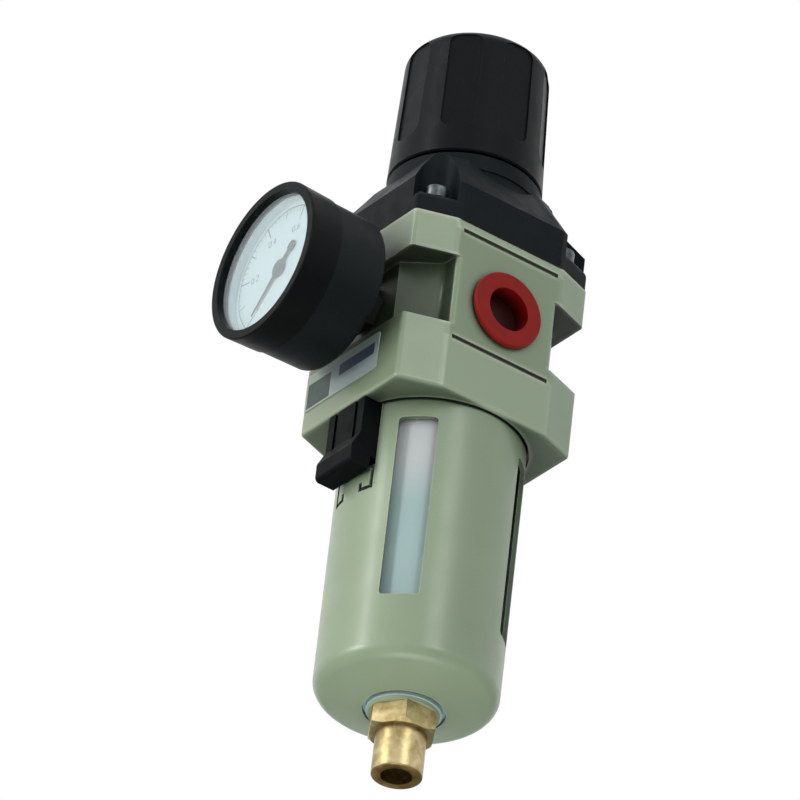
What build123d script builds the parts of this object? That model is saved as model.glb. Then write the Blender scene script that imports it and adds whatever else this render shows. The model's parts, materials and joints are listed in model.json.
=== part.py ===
from build123d import *
import math
import os

os.makedirs("parts", exist_ok=True)

# Filter regulator: a regulator body with a filter bowl under it and a pressure gauge in front.
# Millimetres, +Z up along the main axis. The origin is the middle of the drain outlet's mouth.
# The ports face -X (inlet) and +X (outlet), the gauge faces -Y.

BASE = (Align.CENTER, Align.CENTER, Align.MIN)

# ---------------------------------------------------------------- clearances
running_gap = 0.05  # radial, a shaft turning or sliding in its bore
free_gap = 0.3  # between pieces that pass each other without guiding
thread_gap = 0.03  # radial, a thread drawn as a plain cylinder in its hole
seal_gap = 0.1  # radial, a seal in the bore that it turns or slides in

# ---------------------------------------------------------------- driving dimensions
# Body
half_width = 26.5  # port face to axis
half_depth = 29.2
corner_leg_x = 4.7  # flange corner cut, measured along X
corner_leg_y = 12.4  # the same along Y
flange_low_rise = 10.6  # upper flange, above the port axis
flange_top_rise = 22.2
shoulder_drop = 11.0  # top of the lower flange, below the port axis
body_drop = 31.6  # underside of the body
mouth_radius = 25.6  # shallow recess under the body, round the guard's shoulder
mouth_depth = 1.8
waist_front = 25.9
waist_front_half = 12.2
waist_side = 20.5
flange_edge_radius = 1.6
flange_draft = 0.45  # the port faces lean in above the upper slots
block_edge_radius = 1.5
waist_blend_radius = 3.0
body_foot_radius = 1.0
slot_rise = 19.0  # dovetail slots across the port faces
slot_drop = 14.9
slot_width = 1.3
slot_depth = 1.2
slot_half_length = 16.0

# Ports
port_radius = 7.5  # thread drawn at its minor radius
port_depth = 14.0
port_mouth_radius = 8.4  # plain lead-in before the thread, as wide as its crests
port_mouth_depth = 5.0
port_chamfer = 0.8
gauge_port_radius = 4.28
gauge_port_depth = 9.0
passage_radius = 4.2

# Valve and diaphragm
seat_wall_drop = 3.0
valve_seat_radius = 4.5
valve_bore_radius = 7.5
valve_boss_radius = 10.5
valve_boss_drop = 17.0
outlet_chamber_radius = 8.5
outlet_chamber_rise = 9.0
diaphragm_chamber_rise = 13.0
diaphragm_chamber_radius = 18.5
diaphragm_radius = 22.4
diaphragm_thickness = 1.2
valve_stem_radius = 1.9
valve_head_radius = 6.3
valve_head_thickness = 2.8
valve_pad_thickness = 1.2
valve_tail_radius = 2.5
valve_stroke = 1.2
plate_radius = 13.8
plate_thickness = 1.5
relief_seat_radius = 9.0
relief_rivet_radius = 3.0
relief_hole_radius = 0.9

# Bonnet and setting mechanism
skirt_height = 11.8
lug_height = 6.8
bonnet_inset = 0.2
cone_height = 14.0
cone_share = 0.685  # size of the cone's top outline as a share of its foot
neck_radius = 20.9
neck_rise = 50.2
collar_radius = 21.4
collar_height = 4.5
tube_radius = 15.4
tube_bore_radius = 13.4
tube_rise = 78.0
tube_roof = 3.5
keyway_depth = 1.1
keyway_width = 4.0
screw_x = 19.3
screw_y = 21.5
screw_radius = 1.62
screw_head_radius = 3.4
screw_head_height = 3.6
screw_reach = 7.5
pocket_radius = 5.2
lug_edge_radius = 2.5
adjuster_thread_radius = 4.0
adjuster_collar_radius = 9.0
adjuster_collar_height = 2.5
adjuster_journal_radius = 6.5
adjuster_hex = 11.0
adjuster_head_gap = 3.8  # under the knob's roof
thrust_washer_thickness = 0.5
spring_seat_rise = 60.0
spring_seat_thickness = 3.0
spring_seat_travel = 7.2
spring_radius = 11.6
spring_wire_radius = 1.3
spring_turns = 6

# Knob
knob_low_rise = 51.3
knob_high_rise = 93.0
knob_low_radius = 21.47
knob_high_radius = 19.95
knob_edge_radius = 4.6
knob_wall = 2.2
knob_roof = 3.2
knob_hub_radius = 9.0
grip_count = 8
grip_half_width = 4.7
grip_depth = 1.0
grip_low_rise = 59.5

# Bowl, guard and drain, from the body downwards
guard_radius = 25.0
guard_wall = 1.3
guard_length = 82.7
guard_gap = 1.7  # guard shoulder to the recess above it
guard_cone_rise = 4.0
guard_mouth_radius = 11.2
guard_edge_radius = 4.0
guard_neck_bore = 22.7
guard_neck_wall = 0.8
guard_neck_height = 9.2
window_top_drop = 37.3  # sight slots, below the port axis
window_low_drop = 92.7
window_half_width = 5.4
window_corner = 1.2
lug_radius = 24.8
lug_angle = 38.0
lug_drop = 27.9
lug_thickness = 2.8
entry_angle = 44.0
bowl_radius = 22.4
bowl_wall = 2.0
bowl_neck_radius = 20.9
bowl_neck_wall = 1.7
bowl_neck_drop = 15.0
bowl_boss_radius = 10.2
bowl_boss_length = 0.5  # below the guard's mouth
bowl_floor = 2.4
bowl_edge_radius = 3.0
seal_drop = 18.4
seal_wire_radius = 0.6
drain_washer_thickness = 1.0
drain_hex = 17.0
drain_hex_height = 6.3
barrel_radius = 6.9
barrel_length = 12.0
drain_thread_radius = 4.28
drain_thread_depth = 10.0
drain_bore_radius = 1.6
drain_spigot_radius = 4.8

# Filter and float
guide_floor_drop = 14.5
guide_flange_radius = 9.8
guide_flange_thickness = 2.0
guide_rod_radius = 3.0
guide_rod_drop = 58.5
deflector_radius = 18.6
deflector_thickness = 2.0
deflector_blades = 12
deflector_skirt = 6.0
element_radius = 13.5
element_wall = 4.5
element_low_drop = 54.0
baffle_radius = 15.5
baffle_thickness = 2.5
baffle_fins = 4
baffle_fin_height = 5.5
housing_flange_radius = 8.6
housing_flange_thickness = 3.2
housing_radius = 6.0
housing_rise = 28.0  # above the bowl's floor
housing_cap_radius = 8.0
float_radius = 12.5
float_height = 13.0
float_lift = 5.0
pin_radius = 1.8
pin_length = 12.0
pin_lift = 2.0

# Lock button
lock_half_width = 8.0
lock_face = 29.2  # outer face, in front of the axis
lock_top_drop = 31.8
lock_block_drop = 49.0
lock_tab_face = 31.5
lock_tab_top_drop = 43.0
lock_tab_step_drop = 47.7
lock_tab_low_drop = 53.0
lock_travel = 2.5
lock_tab_edge = 1.4
lock_groove_offset = 4.6  # two grooves leave a wide rib between them
lock_groove_width = 1.4
lock_groove_depth = 0.7
lock_spring_radius = 1.2
lock_spring_wire = 0.3
slit_inner = 3.3
slit_outer = 8.2
slit_low_drop = 57.7
slit_inner_height = 2.2
slit_width = 1.2

# Gauge, with its depths measured forwards (-Y) from the main axis
gauge_radius = 23.1
gauge_front = 61.9
gauge_back = 36.0
dial_window_radius = 20.3
bezel_depth = 10.1
bezel_wall = 1.0
bezel_taper = 0.4
bezel_lip = 2.1
bezel_edge_radius = 0.5
case_step = 0.8  # the case is narrower than the bezel
case_back_radius = 22.0
case_wall = 1.4
dial_thickness = 0.6
dial_front = 55.8
window_thickness = 1.6
socket_hex = 12.0
socket_hex_front = 35.7
block_front = 44.4
tube_arc_radius = 15.0
tube_half_height = 1.9
tube_half_thickness = 0.8
tube_skin = 0.3
tube_start = -72.5
tube_sweep = 240.0
gear_module = 0.2
pinion_teeth = 12
sector_teeth = 72
gear_low = 47.2
gear_high = 48.8
plate_gap_high = 49.8
movement_plate = 0.8
movement_width = 14.5
movement_margin = 7.5  # plate's height beyond the gears' centre distance
post_reach = 5.8
post_rise = 2.8
post_drop = 1.4
post_radius = 0.9
movement_screw_offset = 3.2
movement_screw_head = 1.2
sector_span = 57.0  # degrees of teeth
sector_lean = 67.5  # middle of the teeth at rest
arbor_radius = 0.45
needle_length = 15.0
needle_tail = 8.7
needle_hub_radius = 2.7
needle_back = 56.2
needle_zero = 225.0  # degrees, counted from +X in the gauge's front view

# Plugs and label
plug_radius = 11.0
plug_flange = 1.2
plug_flange_edge = 0.5
plug_stand_off = 0.8  # the flange stands off the port face
plug_cup_radius = 6.4
plug_wall = 0.8
label_left = -20.9
label_right = 12.0
label_top_drop = 13.0
label_low_drop = 24.6
label_thickness = 0.25

# ---------------------------------------------------------------- levels
hex_low = barrel_length
hex_high = hex_low + drain_hex_height
boss_low = hex_high + drain_washer_thickness
guard_low = boss_low + bowl_boss_length
guard_top = guard_low + guard_length
body_low = guard_top + guard_gap - mouth_depth
port_level = body_low + body_drop
shoulder_level = port_level - shoulder_drop
flange_low = port_level + flange_low_rise
flange_top = port_level + flange_top_rise
gauge_level = port_level
guard_slope = guard_cone_rise / (guard_radius - guard_mouth_radius)
cone_shift = guard_wall / math.cos(math.atan(guard_slope))
neck_top = guard_top + guard_neck_height
cavity_radius = guard_neck_bore + guard_neck_wall + free_gap
seal_bore_radius = bowl_neck_radius + free_gap
seal_bore_low = neck_top + 2 * free_gap
seal_bore_high = port_level - bowl_neck_drop + 2.5
recess_floor = flange_top - diaphragm_thickness
plate_top = flange_top + plate_thickness
spring_seat_low = port_level + spring_seat_rise
skirt_top = flange_top + skirt_height
lug_top = flange_top + lug_height
cone_top = skirt_top + cone_height
tube_top = port_level + tube_rise
roof_low = tube_top - tube_roof
port_seat = half_width - port_depth
gauge_axis = Axis((0, 0, gauge_level), (0, -1, 0))
bowl_floor_level = boss_low + bowl_boss_length + cone_shift + bowl_floor


# ---------------------------------------------------------------- shared shapes
def octagon(half_x, half_y, leg_x, leg_y):
    """Rectangle with its four corners cut off."""
    quarter = [(half_x, half_y - leg_y), (half_x - leg_x, half_y)]
    left = [(-x, y) for x, y in reversed(quarter)]
    low = [(-x, -y) for x, y in quarter + left]
    with BuildSketch() as shape:
        with BuildLine():
            Polyline(*quarter, *left, *low, close=True)
        make_face()
    return shape.sketch


def turned(points):
    """Half section about Z, from (radius, height) corners."""
    with BuildSketch(Plane.XZ) as shape:
        with BuildLine():
            Polyline(*points, close=True)
        make_face()
    return shape.sketch


def gauge_turned(points):
    """Half section about the gauge's axis, from (radius, distance in front of the main axis)."""
    with BuildSketch(Plane.XY.offset(gauge_level)) as shape:
        with BuildLine():
            Polyline(*[(radius, -front) for radius, front in points], close=True)
        make_face()
    return shape.sketch


def sector(radius, angle, direction):
    """Slice of a disc, centred on a direction in degrees."""
    with BuildSketch() as shape:
        with BuildLine():
            arc = CenterArc((0, 0), radius, direction - angle / 2, angle)
            Polyline(arc @ 1, (0, 0), arc @ 0)
        make_face()
    return shape.sketch


def post(radius, low, high, mode=Mode.ADD):
    """Cylinder along Z between two levels."""
    with Locations((0, 0, low)):
        Cylinder(radius, high - low, align=BASE, mode=mode)


def drill(origin, direction, radius, depth, mode=Mode.SUBTRACT):
    """Cylinder from a point along a direction."""
    with Locations(Plane(origin=origin, z_dir=direction)):
        Cylinder(radius, depth, align=BASE, mode=mode)


def gauge_plane(front):
    """Plane facing forwards at a distance in front of the main axis, X right and Z up."""
    return Plane(origin=(0, -front, gauge_level), x_dir=(1, 0, 0), z_dir=(0, -1, 0))


def coil(mean_radius, wire_radius, low, high, turns):
    """Round-wire coil spring that stands between two levels."""
    rise = high - low - 2 * wire_radius
    with BuildPart() as spring:
        with BuildLine() as path:
            Helix(pitch=rise / turns, height=rise, radius=mean_radius)
        with BuildSketch(Plane(origin=path.line @ 0, z_dir=path.line % 0)):
            Circle(wire_radius)
        sweep(is_frenet=True)
    return spring.part.moved(Location((0, 0, low + wire_radius)))


def gear_outline(teeth, module, play):
    """Straight-flanked gear outline, its first tooth along +X."""
    pitch_radius = module * teeth / 2
    tip = pitch_radius + 0.9 * module
    root = pitch_radius - 1.2 * module
    quarter = 360 / teeth / 4 - math.degrees(play / pitch_radius)
    points = []
    for tooth in range(teeth):
        middle = 360 * tooth / teeth
        for radius, offset in ((root, -1.5), (tip, -0.45), (tip, 0.45), (root, 1.5)):
            turn = math.radians(middle + offset * quarter)
            points.append((radius * math.cos(turn), radius * math.sin(turn)))
    with BuildSketch() as shape:
        with BuildLine():
            Polyline(*points, close=True)
        make_face()
    return shape.sketch


def save(part, name):
    part.label = name
    export_step(part, f"parts/{name}.step")


corner_screws = [(x, y, 0) for x in (-screw_x, screw_x) for y in (-screw_y, screw_y)]

# ---------------------------------------------------------------- body
with BuildPart() as body:
    with BuildSketch(Plane.XY.offset(flange_low)):
        add(octagon(half_width, half_depth, corner_leg_x, corner_leg_y))
    extrude(amount=flange_top - flange_low)
    with BuildSketch(Plane.XY.offset(body_low)):
        add(octagon(half_width, half_depth, corner_leg_x, corner_leg_y))
    extrude(amount=shoulder_level - body_low)
    fillet(body.edges().filter_by(Axis.Z), flange_edge_radius)
    fillet(body.faces().sort_by(Axis.Z)[0].edges(), body_foot_radius)
    # Waist: port blocks as wide as the port faces, and a core set back from the flange corners
    with BuildSketch(Plane.XY.offset(shoulder_level)) as waist:
        Rectangle(2 * half_width, 2 * (half_depth - corner_leg_y))
        add(
            octagon(
                waist_side,
                waist_front,
                waist_side - waist_front_half,
                waist_front - half_depth + corner_leg_y,
            )
        )
        block_corners = waist.vertices().filter_by(lambda v: abs(abs(v.X) - half_width) < 1e-6)
        fillet(block_corners, block_edge_radius)
        waist_corners = waist.vertices().filter_by(lambda v: abs(abs(v.X) - waist_side) < 1e-6)
        fillet(waist_corners, waist_blend_radius)
    extrude(amount=flange_low - shoulder_level)
    # Draft on the port faces above the upper slots
    draft_low = port_level + slot_rise + slot_width / 2
    for side in (-1, 1):
        with BuildSketch(Plane.XZ):
            with BuildLine():
                Polyline(
                    (side * half_width, draft_low),
                    (side * (half_width + 1), draft_low),
                    (side * (half_width + 1), flange_top),
                    (side * (half_width - flange_draft), flange_top),
                    close=True,
                )
            make_face()
        extrude(amount=half_depth, both=True, mode=Mode.SUBTRACT)
    # Bowl cavity, with the boss for the valve guide hanging in it
    post(mouth_radius, body_low, body_low + mouth_depth, Mode.SUBTRACT)
    post(cavity_radius, body_low, seal_bore_low, Mode.SUBTRACT)
    post(seal_bore_radius, seal_bore_low, seal_bore_high, Mode.SUBTRACT)
    post(valve_boss_radius, port_level - valve_boss_drop, seal_bore_high)
    # Bayonet: a ring groove, reached through four gaps in the ledge under it
    lug_low = port_level - lug_drop
    lug_room = lug_radius + free_gap
    post(lug_room, lug_low - free_gap, lug_low + lug_thickness + free_gap, Mode.SUBTRACT)
    with BuildSketch(Plane.XY.offset(body_low)):
        for direction in (45, 135, 225, 315):
            add(sector(lug_room, entry_angle, direction))
    extrude(amount=lug_low - body_low, mode=Mode.SUBTRACT)
    # Valve bore, seat, outlet chamber, stem hole and diaphragm chamber
    seat_level = port_level - seat_wall_drop
    post(valve_bore_radius, port_level - valve_boss_drop, seat_level, Mode.SUBTRACT)
    post(valve_seat_radius, seat_level, port_level, Mode.SUBTRACT)
    chamber_top = port_level + outlet_chamber_rise
    post(outlet_chamber_radius, port_level, chamber_top, Mode.SUBTRACT)
    sensing_floor = port_level + diaphragm_chamber_rise
    post(valve_stem_radius + running_gap, chamber_top, sensing_floor, Mode.SUBTRACT)
    with Locations((-outlet_chamber_radius + 2, 0, chamber_top)):
        Cylinder(1, sensing_floor - chamber_top, align=BASE, mode=Mode.SUBTRACT)
    post(diaphragm_chamber_radius, sensing_floor, recess_floor, Mode.SUBTRACT)
    post(diaphragm_radius + seal_gap, recess_floor, flange_top, Mode.SUBTRACT)
    # Ports, with a chamfered mouth, and their passages to the chambers
    for side in (-1, 1):
        drill((side * port_seat, 0, port_level), (side, 0, 0), port_radius, port_depth)
        mouth_seat = (side * (half_width - port_mouth_depth), 0, port_level)
        drill(mouth_seat, (side, 0, 0), port_mouth_radius, port_mouth_depth)
        with Locations(Plane(origin=(side * half_width, 0, port_level), z_dir=(-side, 0, 0))):
            Cone(
                port_mouth_radius + port_chamfer,
                port_mouth_radius,
                port_chamfer,
                align=BASE,
                mode=Mode.SUBTRACT,
            )
    outlet_run = port_seat + port_radius / 2
    outlet_run_level = port_level + outlet_chamber_rise / 2
    drill((0, 0, outlet_run_level), (1, 0, 0), passage_radius, outlet_run)
    inlet_drop_x = -port_seat - passage_radius
    with Locations((inlet_drop_x, 0, seal_bore_high)):
        Cylinder(
            passage_radius,
            port_level - seal_bore_high,
            align=BASE,
            mode=Mode.SUBTRACT,
        )
    # Gauge ports, front and back
    gauge_port_floor = waist_front - gauge_port_depth
    for side in (-1, 1):
        origin = (0, side * gauge_port_floor, gauge_level)
        drill(origin, (0, side, 0), gauge_port_radius, gauge_port_depth)
        pressure_hole = (0, side * outlet_chamber_radius * 0.9, port_level + 2.5)
        drill(pressure_hole, (0, side, 0), 1.5, gauge_port_floor)
    # Screw holes for the bonnet
    with Locations(*[(x, y, flange_top - screw_reach - 1) for x, y, z in corner_screws]):
        Cylinder(screw_radius + thread_gap, screw_reach + 1, align=BASE, mode=Mode.SUBTRACT)
    # Dovetail slots across the port faces
    for side in (-1, 1):
        for level in (port_level + slot_rise, port_level - slot_drop):
            with Locations((side * half_width, 0, level)):
                Box(2 * slot_depth, 2 * slot_half_length, slot_width, mode=Mode.SUBTRACT)
save(body.part, "body")


# ---------------------------------------------------------------- plugs and label
def port_plug(side):
    """Push-in cap for a main port: a flange outside and a cup inside the bore."""
    plug_body_radius = port_mouth_radius - running_gap
    plug_reach = port_mouth_depth - free_gap
    with BuildPart() as plug:
        flange_back = half_width + plug_stand_off
        flange_front = flange_back + plug_flange
        barrel_run = plug_stand_off + plug_reach
        drill((side * flange_back, 0, port_level), (side, 0, 0), plug_radius, plug_flange, Mode.ADD)
        fillet(plug.edges().sort_by(Axis.X)[-1 if side > 0 else 0], plug_flange_edge)
        barrel_start = (side * flange_back, 0, port_level)
        drill(barrel_start, (-side, 0, 0), plug_body_radius, barrel_run, Mode.ADD)
        mouth = (side * flange_front, 0, port_level)
        cup_depth = plug_flange + barrel_run - plug_wall
        drill(mouth, (-side, 0, 0), plug_cup_radius, cup_depth)
    return plug.part


save(port_plug(-1), "inlet_plug")
save(port_plug(1), "outlet_plug")

with BuildPart() as rear_port_plug:
    plug_length = gauge_port_depth - 1
    plug_origin = (0, waist_front - plug_length, gauge_level)
    drill(plug_origin, (0, 1, 0), gauge_port_radius - thread_gap, plug_length, Mode.ADD)
    with BuildSketch(Plane(origin=(0, waist_front, gauge_level), z_dir=(0, 1, 0))):
        RegularPolygon(2.5, 6, major_radius=False)
    extrude(amount=-plug_length / 2, mode=Mode.SUBTRACT)
save(rear_port_plug.part, "rear_port_plug")

with BuildPart() as label_plate:
    label_middle = (label_left + label_right) / 2
    label_level = port_level - (label_top_drop + label_low_drop) / 2
    with BuildSketch(
        Plane(
            origin=(label_middle, -half_depth, label_level), x_dir=(1, 0, 0), z_dir=(0, -1, 0)
        )
    ):
        RectangleRounded(label_right - label_left, label_low_drop - label_top_drop, 0.8)
    extrude(amount=label_thickness)
save(label_plate.part, "label_plate")

# ---------------------------------------------------------------- bonnet
skirt_half_x = half_width - bonnet_inset
skirt_half_y = half_depth - bonnet_inset

# Walls and roof, open over the four screw lugs, and as wide as the corner on the gauge's side
pocket_turn = math.atan2(corner_leg_x, corner_leg_y)
pocket_run = 2 * pocket_radius
with BuildPart() as bonnet_walls:
    with BuildSketch(Plane.XY.offset(flange_top)):
        add(octagon(skirt_half_x, skirt_half_y, corner_leg_x, corner_leg_y))
    extrude(amount=skirt_height)
    fillet(bonnet_walls.edges().filter_by(Axis.Z), flange_edge_radius)
    with BuildSketch(Plane.XY.offset(skirt_top)):
        add(octagon(skirt_half_x, skirt_half_y, corner_leg_x, corner_leg_y))
    with BuildSketch(Plane.XY.offset(cone_top)):
        add(
            octagon(
                skirt_half_x * cone_share,
                skirt_half_y * cone_share,
                corner_leg_x * cone_share,
                corner_leg_y * cone_share,
            )
        )
    loft()
    for x, y, z in corner_screws:
        with BuildSketch(Plane.XY.offset(flange_top)):
            with Locations((x, y)):
                Circle(pocket_radius)
            for turn in (pocket_turn, math.pi / 4):
                far_x = x + math.copysign(pocket_run * math.cos(turn), x)
                far_y = y + math.copysign(pocket_run * math.sin(turn), y)
                with BuildLine():
                    Line((x, y), (far_x, far_y))
                trace(line_width=2 * pocket_radius)
        extrude(amount=cone_top - flange_top, mode=Mode.SUBTRACT)

with BuildPart() as bonnet:
    with BuildSketch(Plane.XY.offset(flange_top)):
        add(octagon(skirt_half_x, skirt_half_y, corner_leg_x, corner_leg_y))
    extrude(amount=lug_height)
    fillet(bonnet.edges().filter_by(Axis.Z), flange_edge_radius)
    fillet(bonnet.faces().sort_by(Axis.Z)[-1].edges(), lug_edge_radius)
    add(bonnet_walls.part)
    # Neck, collar under the knob and the spring tube inside the knob
    neck_level = port_level + neck_rise
    post(neck_radius, skirt_top, neck_level)
    post(collar_radius, neck_level - collar_height, neck_level)
    post(tube_radius, neck_level, tube_top)
    fillet(bonnet.faces().sort_by(Axis.Z)[-1].edges(), 1)
    # Spring room, its two keyways, the screw's journal hole and the corner screw holes
    post(tube_bore_radius, flange_top, roof_low, Mode.SUBTRACT)
    post(plate_radius + 3, flange_top, flange_top + 4 * plate_thickness, Mode.SUBTRACT)
    with BuildSketch(Plane.XY.offset(flange_top + 4 * plate_thickness)):
        Rectangle(2 * (tube_bore_radius + keyway_depth), keyway_width)
    extrude(amount=spring_seat_low + 8 - flange_top - 4 * plate_thickness, mode=Mode.SUBTRACT)
    post(adjuster_journal_radius + running_gap, roof_low, tube_top, Mode.SUBTRACT)
    with Locations(*[(x, y, flange_top) for x, y, z in corner_screws]):
        Cylinder(screw_radius + free_gap, lug_height, align=BASE, mode=Mode.SUBTRACT)
save(bonnet.part, "bonnet")

with BuildPart() as bonnet_screws:
    with Locations(*[(x, y, flange_top - screw_reach) for x, y, z in corner_screws]):
        Cylinder(screw_radius, screw_reach + lug_height, align=BASE)
    with Locations(*[(x, y, lug_top) for x, y, z in corner_screws]):
        Cylinder(screw_head_radius, screw_head_height, align=BASE)
    fillet(bonnet_screws.faces().group_by(Axis.Z)[-1].edges(), 0.5)
    with BuildSketch(Plane.XY.offset(lug_top + screw_head_height)):
        with Locations(*[(x, y) for x, y, z in corner_screws]):
            RegularPolygon(1.5, 6, major_radius=False)
    extrude(amount=-screw_head_height / 2, mode=Mode.SUBTRACT)
save(bonnet_screws.part, "bonnet_screws")

# ---------------------------------------------------------------- knob
knob_low = port_level + knob_low_rise
knob_high = port_level + knob_high_rise
knob_taper = (knob_low_radius - knob_high_radius) / (knob_high - knob_low)
hub_low = tube_top + running_gap + 1.5
grip_low = port_level + grip_low_rise
grip_high = knob_high - knob_edge_radius / 2
grip_middle = (grip_low + grip_high) / 2
grip_floor = knob_low_radius - knob_taper * (grip_middle - knob_low) - grip_depth

with BuildPart() as grip_cutter:
    with BuildSketch(
        Plane(
            origin=(0, -grip_floor, grip_middle),
            x_dir=(1, 0, 0),
            z_dir=(0, -1, knob_taper),
        )
    ) as grip_shape:
        Rectangle(2 * grip_half_width, grip_high - grip_low)
        fillet(grip_shape.vertices().group_by(Axis.Z)[0], grip_half_width * 0.6)
    extrude(amount=4 * grip_depth)

with BuildPart() as knob:
    corner_radius = knob_high_radius
    revolve(
        turned([(0, knob_low), (knob_low_radius, knob_low), (corner_radius, knob_high), (0, knob_high)]),
        axis=Axis.Z,
    )
    fillet(knob.edges().sort_by(Axis.Z)[-1], knob_edge_radius)
    with PolarLocations(0, grip_count):
        add(grip_cutter.part, mode=Mode.SUBTRACT)
    inner_low_radius = knob_low_radius - knob_wall
    inner_high_radius = knob_high_radius - knob_wall
    inner_roof = knob_high - knob_roof
    revolve(
        turned(
            [
                (0, knob_low),
                (inner_low_radius, knob_low),
                (inner_high_radius, inner_roof),
                (0, inner_roof),
            ]
        ),
        axis=Axis.Z,
        mode=Mode.SUBTRACT,
    )
    chamfer(knob.faces().sort_by(Axis.Z)[0].outer_wire().edges(), 0.4)
    post(knob_hub_radius, hub_low, inner_roof)
    with BuildSketch(Plane.XY.offset(hub_low)):
        RegularPolygon(adjuster_hex / 2 + running_gap, 6, major_radius=False)
    extrude(amount=inner_roof - hub_low, mode=Mode.SUBTRACT)
save(knob.part, "knob")

# ---------------------------------------------------------------- setting mechanism
collar_high = roof_low - thrust_washer_thickness
collar_low = collar_high - adjuster_collar_height
spring_seat_high = spring_seat_low + spring_seat_thickness
head_level = inner_roof - adjuster_head_gap
with BuildPart() as adjusting_screw:
    post(adjuster_thread_radius, spring_seat_low - spring_seat_travel, collar_low)
    post(adjuster_collar_radius, collar_low, collar_high)
    post(adjuster_journal_radius, collar_high, tube_top)
    with BuildSketch(Plane.XY.offset(tube_top)):
        RegularPolygon(adjuster_hex / 2, 6, major_radius=False)
    extrude(amount=head_level - tube_top)
    chamfer(adjusting_screw.faces().sort_by(Axis.Z)[-1].edges(), 0.5)
save(adjusting_screw.part, "adjusting_screw")

with BuildPart() as thrust_washer:
    post(adjuster_collar_radius + 1, collar_high, roof_low)
    post(adjuster_journal_radius + running_gap * 2, collar_high, roof_low, Mode.SUBTRACT)
save(thrust_washer.part, "thrust_washer")

with BuildPart() as spring_seat:
    post(tube_bore_radius - free_gap, spring_seat_low, spring_seat_high)
    with BuildSketch(Plane.XY.offset(spring_seat_low)):
        Rectangle(2 * (tube_bore_radius + keyway_depth - free_gap), keyway_width - 2 * free_gap)
    extrude(amount=spring_seat_thickness)
    post(adjuster_thread_radius + 3, spring_seat_low, spring_seat_high + spring_seat_thickness)
    post(spring_radius - spring_wire_radius - free_gap, spring_seat_low - 1.5, spring_seat_low)
    post(
        adjuster_thread_radius + running_gap,
        spring_seat_low - 1.5,
        spring_seat_high + spring_seat_thickness,
        Mode.SUBTRACT,
    )
save(spring_seat.part, "spring_seat")

regulating_spring = coil(
    spring_radius, spring_wire_radius, plate_top, spring_seat_low, spring_turns
)
save(regulating_spring, "regulating_spring")

# ---------------------------------------------------------------- diaphragm and valve
convolution_radius = (plate_radius + diaphragm_chamber_radius) / 2
convolution_half = (diaphragm_chamber_radius - plate_radius) / 2 - free_gap
with BuildPart() as diaphragm:
    post(diaphragm_radius, recess_floor, flange_top)
    with BuildSketch(Plane.XZ):
        with Locations((convolution_radius, recess_floor + diaphragm_thickness / 2)):
            Circle(convolution_half)
            Rectangle(
                2 * convolution_half,
                convolution_half,
                align=(Align.CENTER, Align.MIN),
                mode=Mode.SUBTRACT,
            )
    revolve(axis=Axis.Z)
    with BuildSketch(Plane.XZ):
        with Locations((convolution_radius, recess_floor + diaphragm_thickness)):
            Circle(convolution_half - diaphragm_thickness / 2)
    revolve(axis=Axis.Z, mode=Mode.SUBTRACT)
    post(relief_rivet_radius + thread_gap, recess_floor, flange_top, Mode.SUBTRACT)
save(diaphragm.part, "diaphragm")

with BuildPart() as diaphragm_plate:
    post(plate_radius, flange_top, plate_top)
    post(spring_radius - spring_wire_radius - free_gap, plate_top, plate_top + plate_thickness)
    post(relief_rivet_radius + 2, plate_top, plate_top + 2 * plate_thickness, Mode.SUBTRACT)
    post(relief_rivet_radius + thread_gap, flange_top, plate_top, Mode.SUBTRACT)
save(diaphragm_plate.part, "diaphragm_plate")

relief_low = recess_floor - plate_thickness
with BuildPart() as relief_seat:
    post(relief_seat_radius, relief_low, recess_floor)
    post(relief_rivet_radius, recess_floor, plate_top + 1)
    post(relief_rivet_radius + 1, plate_top, plate_top + 1)
    post(relief_hole_radius, relief_low, plate_top + 1, Mode.SUBTRACT)
save(relief_seat.part, "relief_seat")

pad_top = seat_level - running_gap
pad_low = pad_top - valve_pad_thickness
head_low = pad_low - valve_head_thickness
guide_floor = port_level - guide_floor_drop
with BuildPart() as valve:
    post(valve_head_radius, head_low, pad_low)
    post(valve_stem_radius, pad_low, relief_low - running_gap)
    chamfer(valve.faces().sort_by(Axis.Z)[-1].edges(), 0.6)
    post(valve_tail_radius, guide_floor + valve_stroke + free_gap - 3, head_low)
save(valve.part, "valve")

with BuildPart() as valve_pad:
    post(valve_head_radius - 0.1, pad_low, pad_top)
    post(valve_stem_radius, pad_low, pad_top, Mode.SUBTRACT)
save(valve_pad.part, "valve_pad")

guide_low = port_level - valve_boss_drop
guide_flange_low = guide_low - guide_flange_thickness
guide_seal_level = guide_low + 1.2
guide_seal_wire = 0.5
guide_outer = valve_bore_radius - thread_gap
with BuildPart() as valve_guide:
    post(guide_outer, guide_low, guide_floor + 3)
    post(valve_head_radius + free_gap / 2, guide_floor, guide_floor + 3, Mode.SUBTRACT)
    post(guide_flange_radius, guide_flange_low, guide_low)
    post(guide_rod_radius, port_level - guide_rod_drop, guide_flange_low)
    # Bore for the valve's tail, and the air holes round it
    post(valve_tail_radius + running_gap, guide_floor - 3.5, guide_floor, Mode.SUBTRACT)
    with Locations((0, 0, guide_flange_low)):
        with PolarLocations((valve_tail_radius + valve_head_radius) / 2 + 0.3, 6):
            Cylinder(0.9, guide_floor - guide_flange_low, align=BASE, mode=Mode.SUBTRACT)
    # Groove for its seal
    groove = Plane.XY.offset(guide_seal_level - guide_seal_wire)
    with BuildSketch(groove):
        Circle(valve_bore_radius + 1)
        Circle(guide_outer - 2 * guide_seal_wire, mode=Mode.SUBTRACT)
    extrude(amount=2 * guide_seal_wire, mode=Mode.SUBTRACT)
save(valve_guide.part, "valve_guide")

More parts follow.
